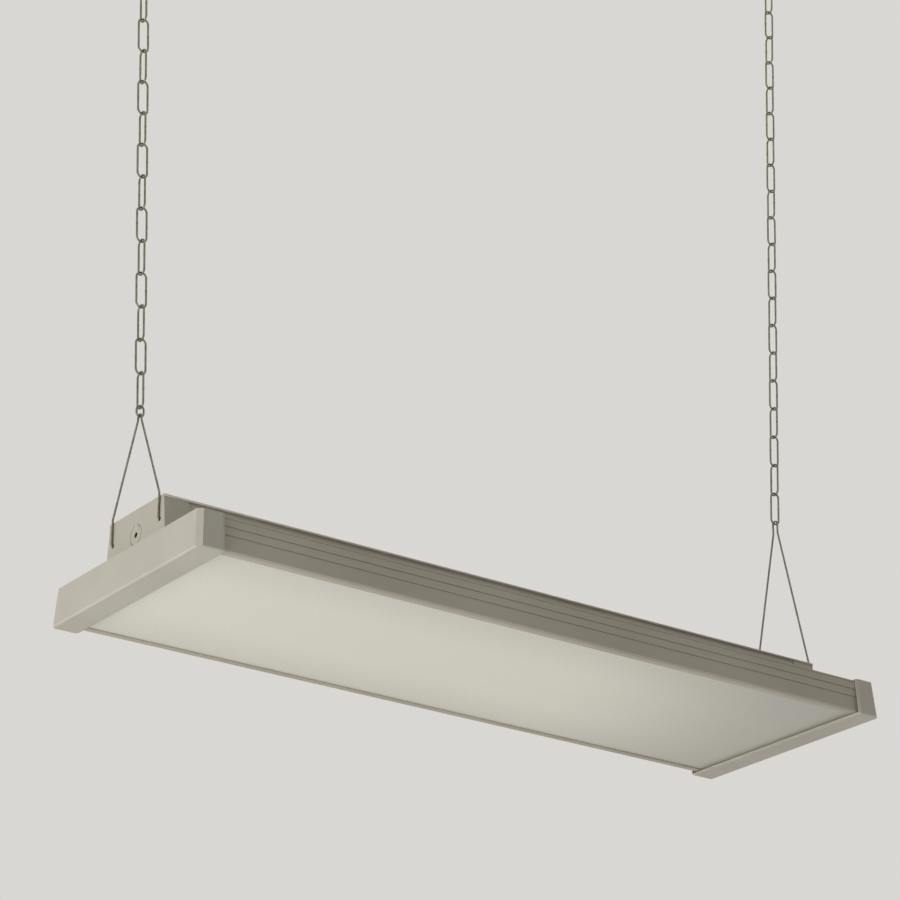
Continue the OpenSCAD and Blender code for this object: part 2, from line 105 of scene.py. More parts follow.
sheetPaint = {
    "light": "#D1CBBD", "dark": "#C8C2B3",   # warm white powder coat
    "dust": "#A49D8E",
    "peel": 2.2,                             # orange peel cells, mm; real ones are near 1
    "wave": 90,                              # slow waviness of folded sheet, mm
    "roughness": 0.46,
}


def powderCoatedSheet():
    # Steel sheet, folded and then powder coated: satin, faintly dimpled like orange peel,
    # with flat areas that are never quite flat and a little dust where it faces up
    p = sheetPaint
    material, tree, shader, place = startMaterial("powderCoatedSheet", p["roughness"])
    colour = mottle(tree, shader, place, p["light"], p["dark"], 160)
    facing = addNode(tree, "ShaderNodeNewGeometry")
    up = addNode(tree, "ShaderNodeSeparateXYZ", links={"Vector": facing.outputs["Normal"]})
    speck = addNode(tree, "ShaderNodeTexNoise", values={"Scale": perMetre(14), "Detail": 6.0},
                    links={"Vector": place})
    dusty = addNode(tree, "ShaderNodeMapRange", values={"From Min": 0.35, "From Max": 2.4},
                    links={"Value": up.outputs["Z"]})
    amount = addNode(tree, "ShaderNodeMath", {"operation": "MULTIPLY"},
                     links={0: dusty.outputs["Result"], 1: speck.outputs["Fac"]})
    mix = addNode(tree, "ShaderNodeMix", {"data_type": "RGBA"}, {7: linear(p["dust"])},
                  {0: amount.outputs["Value"], 6: colour})
    tree.links.new(mix.outputs[2], shader.inputs["Base Color"])
    peel = addNode(tree, "ShaderNodeTexNoise", values={"Scale": perMetre(p["peel"]), "Detail": 1.0},
                   links={"Vector": place})
    wave = addNode(tree, "ShaderNodeTexNoise", values={"Scale": perMetre(p["wave"]), "Detail": 0.0},
                   links={"Vector": place})
    relief(tree, shader, [(wave.outputs["Fac"], 0.12, 1.2), (peel.outputs["Fac"], 0.12, 0.1)])
    return material


railPaint = {
    "light": "#CDC6B6", "dark": "#C3BCAB",
    "dieLine": 0.8,                          # spacing of the die lines across the face, mm
    "peel": 1.8,
    "roughness": 0.44,
}


def powderCoatedExtrusion():
    # Extruded aluminium under the same coat: fine die lines run its whole length
    p = railPaint
    material, tree, shader, place = startMaterial("powderCoatedExtrusion", p["roughness"])
    mottle(tree, shader, place, p["light"], p["dark"], 200)
    along = addNode(tree, "ShaderNodeMapping", values={"Scale": (0.004, 1, 1)}, links={"Vector": place})
    lines = addNode(tree, "ShaderNodeTexNoise", values={"Scale": perMetre(p["dieLine"]), "Detail": 3.0},
                    links={"Vector": along.outputs["Vector"]})
    peel = addNode(tree, "ShaderNodeTexNoise", values={"Scale": perMetre(p["peel"]), "Detail": 1.0},
                   links={"Vector": place})
    relief(tree, shader, [(lines.outputs["Fac"], 0.22, 0.12), (peel.outputs["Fac"], 0.1, 0.08)])
    return material


capPlastic = {
    "light": "#D4CFC2", "dark": "#CCC7B9",
    "grain": 1.4,                            # spark-eroded grain, mm, drawn twice its size
    "roughness": 0.5,
}


def mouldedPolycarbonate():
    # Injection moulded polycarbonate: even colour, fine spark-eroded grain, soft sheen
    p = capPlastic
    material, tree, shader, place = startMaterial("mouldedPolycarbonate", p["roughness"], ior=1.58)
    mottle(tree, shader, place, p["light"], p["dark"], 120)
    grain = addNode(tree, "ShaderNodeTexVoronoi", values={"Scale": perMetre(p["grain"])},
                    links={"Vector": place})
    flow = addNode(tree, "ShaderNodeTexNoise", values={"Scale": perMetre(60), "Detail": 1.0},
                   links={"Vector": place})
    relief(tree, shader, [(flow.outputs["Fac"], 0.1, 0.8), (grain.outputs["Distance"], 0.1, 0.1)])
    return material


lensPlastic = {
    # the valley tone paints the prisms' grooves darker than their tops: painted shade
    "tone": "#CCCABF", "paintedShadeValley": "#C3C0B4",
    "glow": "#FFFBEC",
    "glowStrength": 0.25,
    "prism": 7.0,                            # side of one prism, mm; real ones are near 4
    "groove": 0.2, "paintedShadeGrooveGlow": 0.84,       # half width of a groove in prisms, and its share of light, lowered there as painted shade
    "roughness": 0.34,
    "lean": 0.4,                             # how much earlier the painted shade dims the glow on the front side
    "paintedShadeRight": (0.1, 0.6), "paintedShadeRestRight": 0.2,    # metres along X where painted shade dims the glow, and what's left
    "fadeLeft": (-0.6, -0.5), "restLeft": 0.75,
    "fadeRail": (0.05, 0.19), "restRail": 0.7,    # metres from the middle line
}


def prismaticAcrylic():
    # Extruded acrylic with small square prisms, their grooves painted a little darker than
    # their tops as painted shade. Lit from behind by the boards: even over most of it, weaker
    # towards the rails; its fade towards the right end, earlier on the front side, is painted shade
    p = lensPlastic
    material, tree, shader, place = startMaterial("prismaticAcrylic", p["roughness"], ior=1.49)
    axes = addNode(tree, "ShaderNodeSeparateXYZ", links={"Vector": place})
    peaks = []
    for axis in ("X", "Y"):
        cells = addNode(tree, "ShaderNodeMath", {"operation": "MULTIPLY"}, {1: perMetre(p["prism"])},
                        {0: axes.outputs[axis]})
        slope = addNode(tree, "ShaderNodeMath", {"operation": "PINGPONG"}, {1: 0.5},
                        {0: cells.outputs["Value"]})
        peaks.append(slope.outputs["Value"])
    prism = addNode(tree, "ShaderNodeMath", {"operation": "MINIMUM"}, links={0: peaks[0], 1: peaks[1]})
    relief(tree, shader, [(prism.outputs["Value"], 0.12, 1.0)])
    # grooves painted darker than the prism tops: painted shade
    paintedShadeFacets = addNode(tree, "ShaderNodeValToRGB", links={"Fac": prism.outputs["Value"]})
    paintedShadeFacets.color_ramp.elements[0].color = linear(p["paintedShadeValley"])
    paintedShadeFacets.color_ramp.elements[1].color = linear(p["tone"])
    paintedShadeFacets.color_ramp.elements[1].position = p["groove"]
    tree.links.new(paintedShadeFacets.outputs["Color"], shader.inputs["Base Color"])
    # painted shade: the glow dims towards the right end, and earlier on the front side
    paintedShadeSlant = addNode(tree, "ShaderNodeMath", {"operation": "MULTIPLY_ADD"}, {1: -p["lean"]},
                      {0: axes.outputs["Y"], 2: axes.outputs["X"]})
    paintedShadeToRight = addNode(tree, "ShaderNodeMapRange", {"interpolation_type": "SMOOTHSTEP"},
                      {"From Min": p["paintedShadeRight"][0], "From Max": p["paintedShadeRight"][1],
                       "To Min": 1.0, "To Max": p["paintedShadeRestRight"]},
                      {"Value": paintedShadeSlant.outputs["Value"]})
    toLeft = addNode(tree, "ShaderNodeMapRange", {"interpolation_type": "SMOOTHSTEP"},
                     {"From Min": p["fadeLeft"][0], "From Max": p["fadeLeft"][1],
                      "To Min": p["restLeft"], "To Max": 1.0},
                     {"Value": axes.outputs["X"]})
    across = addNode(tree, "ShaderNodeMath", {"operation": "ABSOLUTE"}, links={0: axes.outputs["Y"]})
    toRail = addNode(tree, "ShaderNodeMapRange", {"interpolation_type": "SMOOTHSTEP"},
                     {"From Min": p["fadeRail"][0], "From Max": p["fadeRail"][1],
                      "To Min": 1.0, "To Max": p["restRail"]},
                     {"Value": across.outputs["Value"]})
    both = addNode(tree, "ShaderNodeMath", {"operation": "MULTIPLY"},
                   links={0: paintedShadeToRight.outputs["Result"], 1: toLeft.outputs["Result"]})
    glow = addNode(tree, "ShaderNodeMath", {"operation": "MULTIPLY"},
                   links={0: both.outputs["Value"], 1: toRail.outputs["Result"]})
    # less glow in the grooves than on the prism tops: painted shade
    paintedShadeFromPrism = addNode(tree, "ShaderNodeMapRange", values={
        "From Max": p["groove"], "To Min": p["paintedShadeGrooveGlow"] * p["glowStrength"],
        "To Max": p["glowStrength"]}, links={"Value": prism.outputs["Value"]})
    strength = addNode(tree, "ShaderNodeMath", {"operation": "MULTIPLY"},
                       links={0: glow.outputs["Value"], 1: paintedShadeFromPrism.outputs["Result"]})
    shader.inputs["Emission Color"].default_value = linear(p["glow"])
    tree.links.new(strength.outputs["Value"], shader.inputs["Emission Strength"])
    return material


def zincPlated(name, light, dark, roughness, cell):
    # Zinc plated steel: a grey metal with cloudy patches that are duller than the rest
    material, tree, shader, place = startMaterial(name, roughness, metallic=1.0)
    mottle(tree, shader, place, light, dark, cell)
    cloud = addNode(tree, "ShaderNodeTexNoise", values={"Scale": perMetre(cell * 0.7), "Detail": 2.0},
                    links={"Vector": place})
    dull = addNode(tree, "ShaderNodeMapRange",
                   values={"To Min": roughness - 0.08, "To Max": roughness + 0.12},
                   links={"Value": cloud.outputs["Fac"]})
    tree.links.new(dull.outputs["Result"], shader.inputs["Roughness"])
    relief(tree, shader, [(cloud.outputs["Fac"], 0.08, 0.05)])
    return material


def enamelledSteel():
    # White reflector enamel: smooth, glossier than the coat outside
    material, tree, shader, place = startMaterial("enamelledSteel", 0.28)
    mottle(tree, shader, place, "#E6E6E1", "#DEDED8", 150)
    peel = addNode(tree, "ShaderNodeTexNoise", values={"Scale": perMetre(3), "Detail": 1.0},
                   links={"Vector": place})
    relief(tree, shader, [(peel.outputs["Fac"], 0.08, 0.08)])
    return material


def brushedDriverCase():
    # Drawn aluminium case, brushed along its length
    material, tree, shader, place = startMaterial("brushedDriverCase", 0.38, metallic=1.0)
    mottle(tree, shader, place, "#B9BABA", "#A9AAAB", 40)
    along = addNode(tree, "ShaderNodeMapping", values={"Scale": (0.02, 1, 1)}, links={"Vector": place})
    lines = addNode(tree, "ShaderNodeTexNoise", values={"Scale": perMetre(0.6), "Detail": 2.0},
                    links={"Vector": along.outputs["Vector"]})
    relief(tree, shader, [(lines.outputs["Fac"], 0.3, 0.08)])
    return material


def solderMaskBoard():
    # White solder mask over copper tracks that show as faint raised bands
    material, tree, shader, place = startMaterial("solderMaskBoard", 0.35)
    mottle(tree, shader, place, "#E9EBE8", "#E1E3DF", 50)
    tracks = addNode(tree, "ShaderNodeTexBrick", {"offset": 0.0},
                     {"Scale": perMetre(40), "Mortar Size": 0.04}, {"Vector": place})
    relief(tree, shader, [(tracks.outputs["Fac"], 0.25, 0.1)])
    return material


def phosphorPackage():
    # Emitter: yellow phosphor in a pale moulded frame
    material, tree, shader, place = startMaterial("phosphorPackage", 0.3, ior=1.41)
    mottle(tree, shader, place, "#F3DE77", "#E7C948", 1.5)
    shader.inputs["Emission Color"].default_value = linear("#FFF3D6")
    shader.inputs["Emission Strength"].default_value = 0.6
    grain = addNode(tree, "ShaderNodeTexNoise", values={"Scale": perMetre(0.5)}, links={"Vector": place})
    relief(tree, shader, [(grain.outputs["Fac"], 0.2, 0.05)])
    return material


def mouldedNylon():
    # Natural nylon connector bodies, slightly waxy
    material, tree, shader, place = startMaterial("mouldedNylon", 0.42, ior=1.53)
    mottle(tree, shader, place, "#E9E6DA", "#DFDBCC", 6)
    flow = addNode(tree, "ShaderNodeTexNoise", values={"Scale": perMetre(2)}, links={"Vector": place})
    relief(tree, shader, [(flow.outputs["Fac"], 0.12, 0.1)])
    return material


def pvcInsulation(name, light, dark):
    # Extruded PVC wire insulation: smooth and faintly waved along its length
    material, tree, shader, place = startMaterial(name, 0.36, ior=1.52)
    mottle(tree, shader, place, light, dark, 9)
    flow = addNode(tree, "ShaderNodeTexNoise", values={"Scale": perMetre(4)}, links={"Vector": place})
    relief(tree, shader, [(flow.outputs["Fac"], 0.15, 0.2)])
    return material


def mouldedRubber():
    # Black grommet rubber, matt with a dusty bloom
    material, tree, shader, place = startMaterial("mouldedRubber", 0.7)
    mottle(tree, shader, place, "#2E2D2B", "#201F1E", 4)
    grain = addNode(tree, "ShaderNodeTexNoise", values={"Scale": perMetre(0.9)}, links={"Vector": place})
    relief(tree, shader, [(grain.outputs["Fac"], 0.25, 0.1)])
    return material


def greenZinc():
    # Ground screw: zinc with a green dyed chromate film
    material, tree, shader, place = startMaterial("greenZinc", 0.35, metallic=0.8)
    mottle(tree, shader, place, "#3B8A4E", "#2B6E3D", 3)
    cloud = addNode(tree, "ShaderNodeTexNoise", values={"Scale": perMetre(1)}, links={"Vector": place})
    relief(tree, shader, [(cloud.outputs["Fac"], 0.15, 0.05)])
    return material


finishes = {
    "sheet": powderCoatedSheet(),
    "rail": powderCoatedExtrusion(),
    "cap": mouldedPolycarbonate(),
    "lens": prismaticAcrylic(),
    "chain": zincPlated("zincPlatedChain", "#8F8A78", "#716C5C", 0.42, 9),
    "wire": zincPlated("galvanisedWire", "#8B8678", "#6F6A5D", 0.4, 12),
    "hook": zincPlated("zincPlatedHook", "#96948C", "#7B7972", 0.38, 8),
    "screw": zincPlated("brightZincScrew", "#B4B4B0", "#9A9A95", 0.3, 4),
    "pan": enamelledSteel(),
    "driver": brushedDriverCase(),
    "board": solderMaskBoard(),
    "emitter": phosphorPackage(),
    "nylon": mouldedNylon(),
    "supply": pvcInsulation("blackPvcInsulation", "#33322F", "#262523"),
    "output": pvcInsulation("redPvcInsulation", "#93261F", "#7C1D18"),
    "rubber": mouldedRubber(),
    "ground": greenZinc(),
}

nodeFinish = {
    "sheet": ["housing_channel", "housing_cover", "left_end_plate", "right_end_plate"],
    "rail": ["front_rail", "rear_rail"],
    "cap": ["left_end_cap", "right_end_cap"],
    "lens": ["lens"],
    "chain": ["left_top_link", "right_top_link", "left_chain", "right_chain", "left_connecting_ring"],
    "wire": ["left_v_hook", "right_v_hook"],
    "hook": ["left_ceiling_hook", "right_ceiling_hook"],
    "screw": ["end_cap_screws", "end_plate_screws", "cover_screws", "channel_screws",
              "driver_screws", "board_screws"],
    "pan": ["reflector_pan"],
    "driver": ["left_driver", "right_driver"],
    "board": ["front_left_board", "front_right_board", "rear_left_board", "rear_right_board"],
    "emitter": ["led_packages"],
    "nylon": ["board_connectors", "supply_connectors"],
    "supply": ["supply_leads"],
    "output": ["output_leads"],
    "rubber": ["grommets"],
    "ground": ["ground_screw"],
}

for finish, names in nodeFinish.items():
    for name in names:
        nodes[name].data.materials.clear()
        nodes[name].data.materials.append(finishes[finish])
print("finishes set on", sum(len(n) for n in nodeFinish.values()), "nodes")


def makePiece(name, mesh, material, body, *replaced):
    piece = bpy.data.objects.new(name, mesh)
    bpy.context.scene.collection.objects.link(piece)
    mesh.materials.append(material)
    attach(piece, body)
    if replaced:
        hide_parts(*replaced)
    return piece


def meshFromRings(name, rings, closed=False, capped=False):
    # rings of equal length joined side by side into one smooth surface
    sides = len(rings[0])
    mesh = bpy.data.meshes.new(name)
    vertices = [tuple(v) for ring in rings for v in ring]
    faces = []
    for i in range(len(rings) if closed else len(rings) - 1):
        a, b = i * sides, ((i + 1) % len(rings)) * sides
        faces += [(a + k, a + (k + 1) % sides, b + (k + 1) % sides, b + k) for k in range(sides)]
    if capped:
        faces.append(tuple(range(sides - 1, -1, -1)))
        faces.append(tuple((len(rings) - 1) * sides + k for k in range(sides)))
    mesh.from_pydata(vertices, [], faces)
    mesh.polygons.foreach_set("use_smooth", [True] * len(mesh.polygons))
    if capped:
        mesh.polygons[-1].use_smooth = mesh.polygons[-2].use_smooth = False
    mesh.update()
    return mesh


def sweep(points, radius, sides, across, closed=False):
    # rings square to a path of points; across is never parallel to the path
    rings = []
    count = len(points)
    for i, point in enumerate(points):
        before = points[i - 1] if closed or i else point
        after = points[(i + 1) % count] if closed or i < count - 1 else point
        heading = (after - before).normalized()
        u = heading.cross(across).normalized()
        v = heading.cross(u)
        r = radius(i) if callable(radius) else radius
        rings.append([point + r * (math.cos(a) * u + math.sin(a) * v)
                      for a in (2 * math.pi * k / sides for k in range(sides))])
    return rings


def joined(name, meshes):
    # several meshes as one
    whole = bmesh.new()
    for mesh in meshes:
        whole.from_mesh(mesh)
        bpy.data.meshes.remove(mesh)
    result = bpy.data.meshes.new(name)
    bmesh.ops.recalc_face_normals(whole, faces=whole.faces)
    whole.to_mesh(result)
    whole.free()
    return result


chain = {
    "wire": 1.5, "endRadius": 7.8, "run": 54.25, "pitch": 51.0,   # mm
    "weld": 0.28, "weldLength": 1.7,   # how far the butt weld swells the wire, and its half length
    "sides": 14, "endSteps": 14,
}
smallRing = {                          # mm, between the left chain and its V-hook
    "endRadius": 5.6, "run": 16, "wire": 1.5, "weld": 0.2, "weldLength": 1.4, "sides": 14,
    "endSteps": 16, "top": (-586.8, 0, -1156.164),
}
hanging = {                            # start of each chain, its lean in degrees, links
    "left": ((-630.163, 0, -35.0), 2.2084, 22),
    "right": ((630.0, 0, -30.75), -2.4312, 20),
}


def linkPath(radius, run, endSteps):
    # centreline of an oval link in the XZ plane, hanging from the middle of its top wire
    points = []
    for k in range(endSteps + 1):      # top bend, from +X round to -X
        a = math.pi * k / endSteps
        points.append((radius * math.cos(a), -radius + radius * math.sin(a)))
    straight = run - 2 * radius
    steps = [0.12, 0.3, 0.42, 0.46, 0.48, 0.5, 0.52, 0.54, 0.58, 0.7, 0.88]
    points += [(-radius, -radius - straight * s) for s in steps]
    for k in range(endSteps + 1):
        a = math.pi + math.pi * k / endSteps
        points.append((radius * math.cos(a), radius - run + radius * math.sin(a)))
    points += [(radius, radius - run + straight * s) for s in steps]
    return [Vector((x * mm, 0, z * mm)) for x, z in points]


def linkMesh(d):
    path = linkPath(d["endRadius"], d["run"], d["endSteps"])
    middle = Vector((-d["endRadius"] * mm, 0, -d["run"] / 2 * mm))

    def swelling(i):                   # a bead where the bent wire was butt welded
        away = (path[i] - middle).length / (d["weldLength"] * mm)
        return (d["wire"] + d["weld"] * math.exp(-away * away)) * mm

    rings = sweep(path, swelling, d["sides"], Vector((0, 1, 0)), closed=True)
    return meshFromRings("link", rings, closed=True)


def hangChains():
    for side, (start, lean, count) in hanging.items():
        along = Matrix.Translation(Vector(start) * mm) @ Matrix.Rotation(math.radians(-lean), 4, "Y")
        groups = {"top": [], "rest": []}
        for i in range(count):
            mesh = linkMesh(chain)
            acrossFirst = side == "right"            # the right chain's odd links lie across
            turn = 90 if (i % 2 == 0) == acrossFirst else 0
            flip = 180 if i % 4 > 1 else 0           # welds don't all face one way
            mesh.transform(along @ Matrix.Translation((0, 0, -i * chain["pitch"] * mm))
                           @ Matrix.Rotation(math.radians(turn + flip), 4, "Z"))
            groups["rest" if i else "top"].append(mesh)
        makePiece(side + "TopLink", joined(side + "TopLink", groups["top"]), finishes["chain"],
                  side + "_top_link", side + "_top_link")
        makePiece(side + "ChainLinks", joined(side + "ChainLinks", groups["rest"]), finishes["chain"],
                  side + "_chain", side + "_chain")
    mesh = linkMesh(smallRing)
    mesh.transform(Matrix.Translation(Vector(smallRing["top"]) * mm))
    makePiece("connectingRing", mesh, finishes["chain"], "connecting_ring", "left_connecting_ring")


hangChains()
print("chains linked")


vHook = {
    "wire": 1.5, "bend": 6, "tipBend": 2.5, "tip": 7, "legY": 62, "tipZ": 84, "knee": 121.4,
    "x": 586.8, "sides": 20,
    "left": {"eye": 259.419, "eyeRadius": 4.5, "neck": 2, "mirror": -1},
    "right": {"eye": 380.0, "eyeRadius": 5, "neck": 15, "mirror": 1},
}


def arcPoints(cy, cz, r, a0, a1, steps):
    return [Vector((0, cy + r * math.cos(math.radians(a0 + (a1 - a0) * i / steps)),
                    cz + r * math.sin(math.radians(a0 + (a1 - a0) * i / steps))))
            for i in range(steps + 1)]


def bendVHooks():
    v = vHook
    for side in ("left", "right"):
        s = v[side]
        neckZ = s["eye"] - s["eyeRadius"] - s["neck"]
        a, h = v["legY"] - s["eyeRadius"] - 2 * v["bend"], neckZ - v["knee"]
        spread = math.degrees(math.atan2(a, h) + math.asin(2 * v["bend"] / math.hypot(a, h)))
        half = arcPoints(0, s["eye"] - s["eyeRadius"], s["eyeRadius"], 90, 0, 14)
        half += arcPoints(s["eyeRadius"] + v["bend"], neckZ, v["bend"], 180, 180 + spread, 8)
        half += arcPoints(v["legY"] - v["bend"], v["knee"], v["bend"], spread, 0, 8)
        r = v["tipBend"]
        for k in range(9):
            t = math.radians(90 * k / 8)
            half.append(Vector((r * (math.cos(t) - 1), v["legY"], v["tipZ"] + r * (1 - math.sin(t)))))
        half.append(Vector((-r - v["tip"], v["legY"], v["tipZ"])))
        other = [Vector((p.x, -p.y, p.z)) for p in reversed(half[1:])]
        place = Matrix.Translation((s["mirror"] * v["x"] * mm, 0, -drop)) @ Matrix.Diagonal(
            (s["mirror"], 1, 1, 1))
        path = [place @ (p * mm) for p in other + half]
        rings = sweep(path, v["wire"] * mm, v["sides"], Vector((s["mirror"], 0, -1)))
        mesh = joined("vHook", [meshFromRings("vHook", rings, capped=True)])
        makePiece(side + "VHook", mesh, finishes["wire"], "light", side + "_v_hook")


bendVHooks()
print("V-hooks bent")


screwHook = {
    "wire": 2.5, "bowl": 11.5, "throat": 70, "shank": 24, "pitch": 1.8, "threadDepth": 0.55,
    "taper": 5, "collar": 3.5,
    "left": {"x": -630, "z": -39.247, "turn": 90},
    "right": {"x": 630, "z": -35.0, "turn": 0},
}


def turnScrewHooks():
    h = screwHook
    for side in ("left", "right"):
        s = h[side]
        top = -s["z"]                                  # the ceiling, above the bowl's lowest wire
        neck = [Vector((0, 0, (top - 1.5 - k * (top - 1.5 - 2 * h["bowl"]) / 4))) for k in range(4)]
        bowl = []
        for k in range(49):                            # from the neck round to the open throat
            a = math.radians(90 + (360 - h["throat"]) * k / 48)
            bowl.append(Vector((h["bowl"] * math.cos(a), 0, h["bowl"] + h["bowl"] * math.sin(a))))
        end = (bowl[-1] - bowl[-2]).normalized()
        tip = [bowl[-1] + end * h["wire"] * math.sin(math.radians(t)) for t in (25, 50, 70, 84)]
        path = neck + bowl + tip
        last = len(path) - 1
        rounding = {last: 0.1, last - 1: 0.34, last - 2: 0.64, last - 3: 0.9}
        rings = sweep([p * mm for p in path], lambda i: h["wire"] * mm * rounding.get(i, 1), 20,
                      Vector((0, 1, 0)))
        wire = meshFromRings("wire", rings, capped=True)
        profile = [(h["wire"], top - 1.5), (h["collar"] - 0.3, top - 1.5), (h["collar"], top - 1.2),
                   (h["collar"], top - 0.3), (h["collar"] - 0.3, top), (h["wire"], top)]
        collar = meshFromRings("collar", [[Vector((r * math.cos(a), r * math.sin(a), z)) * mm
                                           for a in (math.pi * k / 16 for k in range(32))]
                                          for r, z in profile], closed=True)
        thread = []
        steps = int(h["shank"] / 0.2)
        for i in range(steps + 1):                     # a coarse wood thread up to a gimlet point
            z = h["shank"] * i / steps
            left = h["shank"] - z
            full = h["wire"] * min(1, 0.08 + 0.92 * left / h["taper"])
            ring = []
            for k in range(32):
                turn = (z / h["pitch"] - k / 32) % 1
                cut = h["threadDepth"] * min(1, z / 3, left / 3) * (1 - abs(2 * turn - 1)) ** 0.6
                a = math.pi * k / 16
                r = max(full - cut, 0.08)
                ring.append(Vector((r * math.cos(a), r * math.sin(a), top + z)) * mm)
            thread.append(ring)
        mesh = joined("screwHook", [wire, collar, meshFromRings("thread", thread, capped=True)])
        mesh.transform(Matrix.Translation(Vector((s["x"], 0, s["z"])) * mm)
                       @ Matrix.Rotation(math.radians(s["turn"]), 4, "Z"))
        makePiece(side + "ScrewHook", mesh, finishes["hook"], "ceiling", side + "_ceiling_hook")


turnScrewHooks()
print("screw hooks turned")


lid = {
    "halfLength": 585, "halfTop": 72.97, "halfFoot": 73.32, "top": 118.4, "foot": 114.8, "sheet": 1.2,
    "bend": 1.9,                       # outside radius of the two long folds, mm
    "footRadius": 0.45, "steps": 6,
}


def foldLid():
    # the driver housing's lid: one sheet folded down along both long edges
    d = lid
    inner = d["bend"] - d["sheet"]

    def arc(y, z, radius, first, last):
        return [(y + radius * math.cos(math.radians(first + (last - first) * i / d["steps"])),
                 z + radius * math.sin(math.radians(first + (last - first) * i / d["steps"])))
                for i in range(d["steps"] + 1)]

    r, foot = d["footRadius"], d["halfFoot"]
    outside = arc(d["halfTop"] - d["bend"], d["top"] - d["bend"], d["bend"], 90, 0)
    outside += arc(foot - r, d["foot"] + r, r, 0, -90)
    outside += arc(foot - d["sheet"] + r, d["foot"] + r, r, -90, -180)
    outside += arc(d["halfTop"] - d["bend"], d["top"] - d["bend"], inner, 0, 90)
    profile = outside + [(-y, z) for y, z in reversed(outside)]
    rings = [[Vector((x, y, z)) * mm + Vector((0, 0, -drop)) for y, z in profile]
             for x in (-d["halfLength"], d["halfLength"])]
    mesh = meshFromRings("lid", rings, capped=True)
    for face in mesh.polygons:                         # flat on the sheet, smooth round the folds
        if face.area > 4 * d["halfLength"] * mm * mm:
            face.use_smooth = False
    makePiece("foldedLid", joined("foldedLid", [mesh]), finishes["sheet"], "light", "housing_cover")


foldLid()
print("lid folded")


panScrew = {
    "head": 3.0, "rise": 1.65, "shank": 1.5, "length": 8,        # mm, a 3 mm pan head
    "crossLength": 1.5, "crossWidth": 0.28, "crossDepth": 0.8,
}
screwRows = {
    # height above the underside, and where each screw stands
    "cover_screws": (118.45, [(x, y) for x in (-500, 0, 500) for y in (-58, 58)]),
    "end_plate_screws": (118.45, [(s * (573 - 20 * i), y) for s in (-1, 1) for i in (0, 1)
                                  for y in (-58, 58)]),
    "end_cap_screws": (56.05, [(s * 578, y) for s in (-1, 1) for y in (-178, 178)]),
}


def panScrewMesh():
    p = panScrew
    profile = [(p["shank"], -p["length"]), (p["shank"], 0.0), (p["head"] - 0.15, 0.0),
               (p["head"], 0.2), (p["head"], 0.75), (p["head"] * 0.93, 1.15), (p["head"] * 0.78, 1.42),
               (p["head"] * 0.55, 1.58), (p["head"] * 0.25, p["rise"])]
    rings = [[Vector((r * math.cos(a), r * math.sin(a), z)) * mm
              for a in (math.pi * k / 16 for k in range(32))] for r, z in profile]
    mesh = meshFromRings("panScrew", rings, capped=True)
    body = bpy.data.objects.new("panScrew", mesh)
    cutter = bmesh.new()
    for turn in (0, 90):
        blade = bmesh.ops.create_cube(cutter, size=1)["verts"]
        bmesh.ops.transform(cutter, verts=blade, matrix=Matrix.Translation((0, 0, p["rise"] * mm))
                            @ Matrix.Rotation(math.radians(turn), 4, "Z")
                            @ Matrix.Diagonal((2 * p["crossLength"] * mm, 2 * p["crossWidth"] * mm,
                                               2 * p["crossDepth"] * mm, 1)))
        for v in blade:                                # the slots narrow towards their floor
            if v.co.z < p["rise"] * mm:
                v.co.x *= 0.6
                v.co.y *= 0.6
    bladeMesh = bpy.data.meshes.new("cross")
    cutter.to_mesh(bladeMesh)
    cutter.free()
    cross = bpy.data.objects.new("cross", bladeMesh)
    for o in (body, cross):
        bpy.context.scene.collection.objects.link(o)
    cut = body.modifiers.new("cross", "BOOLEAN")
    cut.operation, cut.object, cut.solver, cut.use_self = "DIFFERENCE", cross, "EXACT", True
    graph = bpy.context.evaluated_depsgraph_get()
    result = bpy.data.meshes.new_from_object(body.evaluated_get(graph))
    for o in (body, cross):
        bpy.data.objects.remove(o)
    return result


def driveScrews():
    one = panScrewMesh()
    for node, (height, spots) in screwRows.items():
        copies = []
        for i, (x, y) in enumerate(spots):
            copy = one.copy()
            copy.transform(Matrix.Translation((x * mm, y * mm, height * mm - drop))
                           @ Matrix.Rotation(0.7 * i + x, 4, "Z"))    # no two stop at one angle
            copies.append(copy)
        name = "".join(w.capitalize() if k else w for k, w in enumerate(node.split("_")))
        makePiece(name, joined(name, copies), finishes["screw"], "light", node)


driveScrews()
print("screws driven")


edgeBreak = {                          # mm of rounding on edges that the CAD leaves sharp
    "front_rail": 0.35, "rear_rail": 0.35, "left_end_cap": 1.1, "right_end_cap": 1.1,
    "left_end_plate": 0.6, "right_end_plate": 0.6, "housing_channel": 0.45,
    "lens": 0.3, "left_driver": 0.6, "right_driver": 0.6,
}


def breakEdges():
    for name, width in edgeBreak.items():
        bevel = nodes[name].modifiers.new("edgeBreak", "BEVEL")
        bevel.width, bevel.segments = width * mm, 2
        bevel.limit_method, bevel.angle_limit = "ANGLE", math.radians(35)
        bevel.harden_normals = False


breakEdges()
print("edges broken")


studio = {
    "floorZ": -4.0, "floorReach": 30, "floorColour": "#D6D5D1",
    "floorPaper": 0.85,                # how much of the floor's tone doesn't depend on the lamps
    "backdrop": "#D8D7D3",
    "ambient": 0.18, "ambientColour": "#FFFDF8",
    "lamps": {                         # place, aim, size in metres, watts
        "leftKey": ((-3.9, -0.3, -2.8), (0, 0, -1.35), 2.4, 76),
        "lowFill": ((-1.2, -1.6, -3.85), (0, 0, -1.4), 2.8, 11),
        "lowUnder": ((-0.8, 0.0, -3.9), (0, 0, -1.4), 2.8, 11),
        "topSoft": ((1.4, 1.8, 2.2), (0, 0, -1.2), 3.0, 60),
        "edgeTop": ((-1.8, -2.6, 2.2), (0, 0, -1.3), 2.0, 20),
        "rearFill": ((3.4, 2.8, 0.4), (0, 0, -1.2), 2.4, 45),
        "rightFill": ((4.0, -1.3, -0.4), (0, 0, -1.2), 2.0, 5),
    },
}


